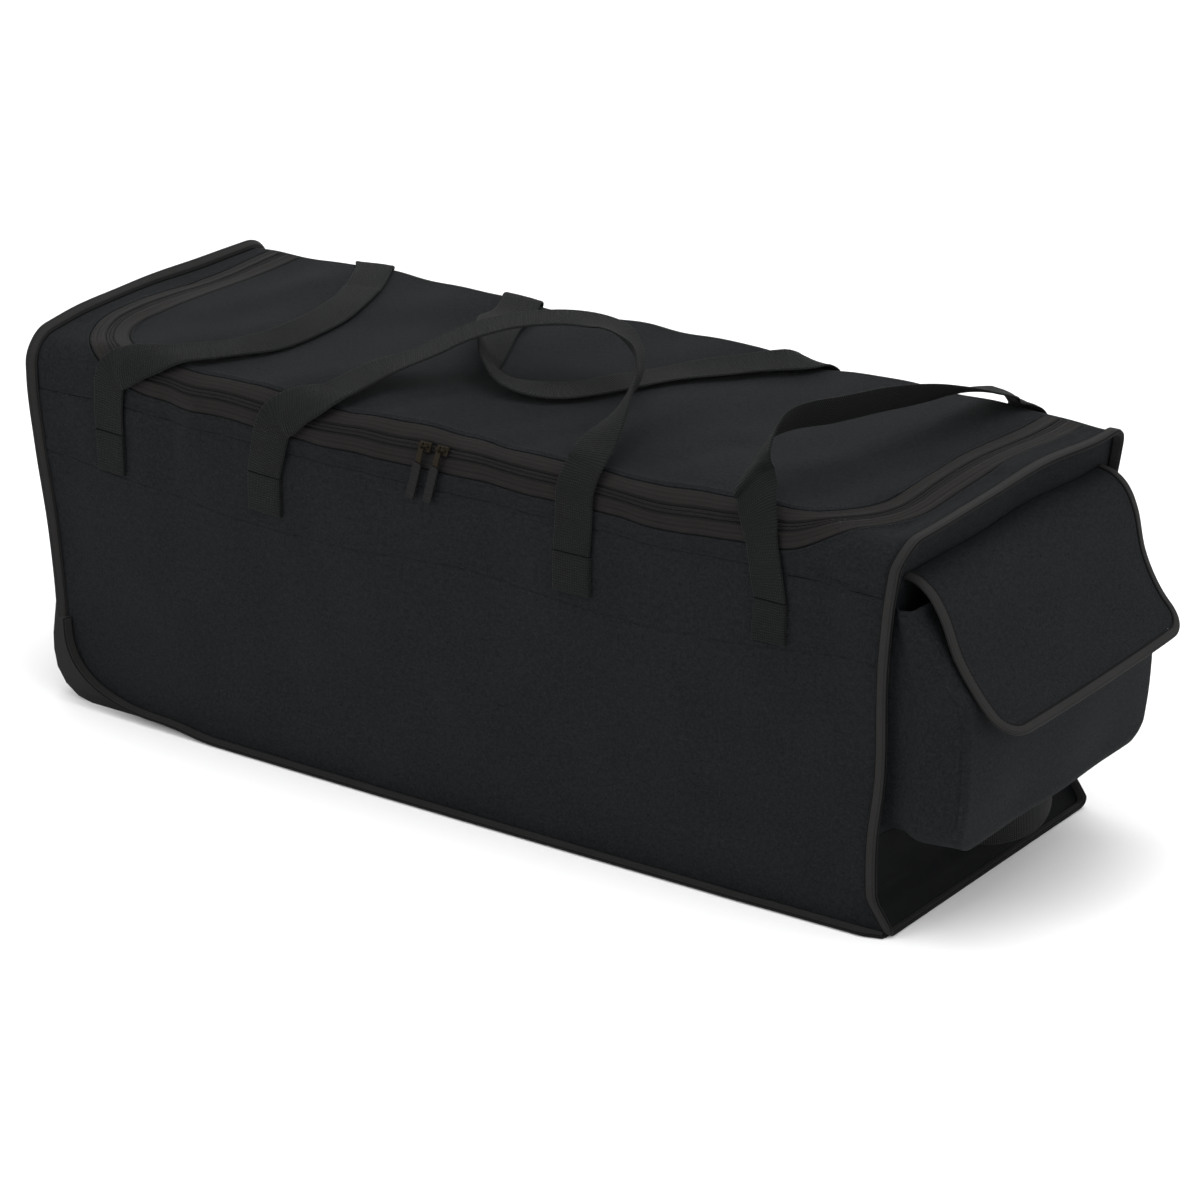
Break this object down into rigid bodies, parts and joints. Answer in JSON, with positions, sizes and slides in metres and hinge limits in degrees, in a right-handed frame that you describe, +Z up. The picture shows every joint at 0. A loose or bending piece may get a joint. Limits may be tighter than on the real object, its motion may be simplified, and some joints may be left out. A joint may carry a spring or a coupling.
{
  "type": "wheeled cricket kit bag",
  "caption": "Long wheeled sports kit bag in dark woven polyester with a zipped lid, webbing straps and an end pocket.",
  "frame": {"origin": "middle of the underside, on the floor", "axes": "+X along the bag towards the pocket end, -Y towards the front, +Z up"},
  "size_m": [1.0953, 0.37, 0.4392],
  "materials": {
    "woven_polyester": "matt woven polyester",
    "coated_polyester": "smooth coated polyester",
    "binding_tape": "grosgrain binding tape",
    "zip_tape": "woven zip tape",
    "zip_coil": "nylon coil under tape",
    "webbing": "ribbed webbing",
    "bronze_metal": "dull antique bronze",
    "black_rubber": "moulded rubber",
    "black_plastic": "fine moulded grain",
    "axle_steel": "plain steel"
  },
  "bodies": {
    "bag": {"front_panel": "woven_polyester", "back_panel": "woven_polyester", "upper_band": "woven_polyester", "lid_panel": "woven_polyester", "left_end_panel": "woven_polyester", "right_end_panel": "woven_polyester", "pocket_front": "woven_polyester", "pocket_gusset": "woven_polyester", "pocket_flap": "woven_polyester", "base_panel": "coated_polyester", "right_end_lower_band": "coated_polyester", "left_end_binding": "binding_tape", "right_end_binding": "binding_tape", "front_base_binding": "binding_tape", "back_base_binding": "binding_tape", "flap_binding": "binding_tape", "zip_tape_outer": "zip_tape", "zip_tape_inner": "zip_tape", "zip_coil": "zip_coil", "left_cross_grip": "webbing", "right_cross_grip": "webbing", "front_carry_handle": "webbing", "back_carry_handle": "webbing", "left_grip_front_anchor": "webbing", "left_grip_back_anchor": "webbing", "handle_left_front_anchor": "webbing", "handle_left_back_anchor": "webbing", "handle_right_front_anchor": "webbing", "handle_right_back_anchor": "webbing", "right_grip_front_anchor": "webbing", "right_grip_back_anchor": "webbing", "left_end_handle": "webbing", "left_end_handle_front_anchor": "webbing", "left_end_handle_back_anchor": "webbing", "haul_handle": "webbing", "haul_handle_front_anchor": "webbing", "haul_handle_back_anchor": "webbing", "zip_slider_left": "bronze_metal", "zip_slider_right": "bronze_metal", "wheel_housing_front": "black_plastic", "wheel_housing_back": "black_plastic", "front_wheel_axle": "axle_steel", "back_wheel_axle": "axle_steel"},
    "front_wheel": {"front_wheel_tyre": "black_rubber", "front_wheel_hub": "black_plastic"},
    "back_wheel": {"back_wheel_tyre": "black_rubber", "back_wheel_hub": "black_plastic"},
    "left_pull": {"zip_pull_left": "bronze_metal", "zip_tab_left": "black_rubber"},
    "right_pull": {"zip_pull_right": "bronze_metal", "zip_tab_right": "black_rubber"}
  },
  "joints": [
    {"name": "front_wheel_turn", "type": "hinge", "parent": "bag", "child": "front_wheel", "pos_m": [-0.43974, -0.123, 0.038], "axis": [0, 1, 0], "continuous": true},
    {"name": "back_wheel_turn", "type": "hinge", "parent": "bag", "child": "back_wheel", "pos_m": [-0.43974, 0.123, 0.038], "axis": [0, 1, 0], "continuous": true},
    {"name": "left_pull_swing", "type": "hinge", "parent": "bag", "child": "left_pull", "pos_m": [-0.017, -0.17447, 0.35229], "axis": [-1, 0, 0], "range_deg": [0, 150]},
    {"name": "right_pull_swing", "type": "hinge", "parent": "bag", "child": "right_pull", "pos_m": [0.002, -0.17447, 0.35228], "axis": [-1, 0, 0], "range_deg": [0, 150]}
  ]
}
